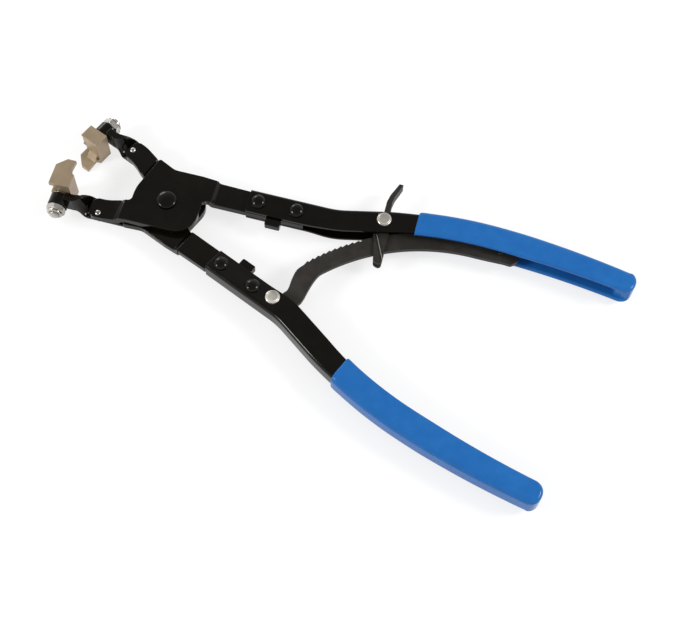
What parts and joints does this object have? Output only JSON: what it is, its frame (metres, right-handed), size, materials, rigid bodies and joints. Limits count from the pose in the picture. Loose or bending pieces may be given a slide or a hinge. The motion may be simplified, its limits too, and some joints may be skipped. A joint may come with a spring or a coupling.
{
  "type": "hose clamp pliers",
  "caption": "Long hose clamp pliers with swivelling stepped jaws, a curved ratchet bar with a thumb release and dipped grips.",
  "frame": {"origin": "on the main pivot's axis, at the flat face of the pivot rivet's tail", "axes": "+X from the jaws to the handles along the middle line, +Y towards the upper handle, +Z through the thickness, from the rivet's tail to its domed head"},
  "size_m": [0.2854, 0.1314, 0.0196],
  "materials": {
    "black_paint": "glossy black paint on steel",
    "grip": "glossy dipped blue vinyl",
    "nickel": "satin nickel plate",
    "bright_steel": "bright plated steel",
    "dark_steel": "dull dark oxide steel"
  },
  "bodies": {
    "front_half": {"front_jaw_plate": "black_paint", "main_pivot_rivet": "black_paint", "upper_handle_channel": "black_paint", "upper_handle_grip": "grip", "upper_rivet_front": "black_paint", "upper_rivet_rear": "black_paint", "pawl_rivet": "bright_steel", "lower_jaw_neck": "black_paint", "lower_neck_pin": "bright_steel"},
    "rear_half": {"rear_jaw_plate": "black_paint", "lower_handle_channel": "black_paint", "lower_handle_grip": "grip", "lower_rivet_front": "black_paint", "lower_rivet_rear": "black_paint", "ratchet_rivet": "bright_steel", "upper_jaw_neck": "black_paint", "upper_neck_pin": "bright_steel"},
    "ratchet": {"ratchet_bar": "dark_steel", "ratchet_stop_pin": "dark_steel"},
    "pawl": {"pawl_lever": "dark_steel", "pawl_spring": "bright_steel"},
    "lower_jaw": {"lower_jaw_block": "nickel", "lower_swivel_screw": "bright_steel", "lower_swivel_washer": "bright_steel", "lower_lock_nut": "bright_steel"},
    "upper_jaw": {"upper_jaw_block": "nickel", "upper_swivel_screw": "bright_steel", "upper_swivel_washer": "bright_steel", "upper_lock_nut": "bright_steel"}
  },
  "joints": [
    {"name": "main_pivot", "type": "hinge", "parent": "front_half", "child": "rear_half", "pos_m": [0, 0, 0.0061], "axis": [0, 0, 1], "range_deg": [0, 22]},
    {"name": "ratchet_pivot", "type": "hinge", "parent": "rear_half", "child": "ratchet", "pos_m": [0.07249, -0.0249, 0.0061], "axis": [0, 0, 1], "range_deg": [-51, 0]},
    {"name": "pawl_pivot", "type": "hinge", "parent": "front_half", "child": "pawl", "pos_m": [0.10236, 0.03807, 0.0061], "axis": [0, 0, -1], "range_deg": [0, 8], "stiffness_Nm_per_rad": 0.4},
    {"name": "lower_jaw_swivel", "type": "hinge", "parent": "front_half", "child": "lower_jaw", "pos_m": [-0.05194, -0.01057, 0.0061], "axis": [-0.1994, 0.9799, 0], "continuous": true},
    {"name": "upper_jaw_swivel", "type": "hinge", "parent": "rear_half", "child": "upper_jaw", "pos_m": [-0.05194, 0.01057, 0.0061], "axis": [0.1994, 0.9799, 0], "continuous": true}
  ],
  "couplings": [
    {"joint": "ratchet_pivot", "follows": "main_pivot", "ratio": -2.3},
    {"joint": "upper_jaw_swivel", "follows": "lower_jaw_swivel", "ratio": 1}
  ]
}
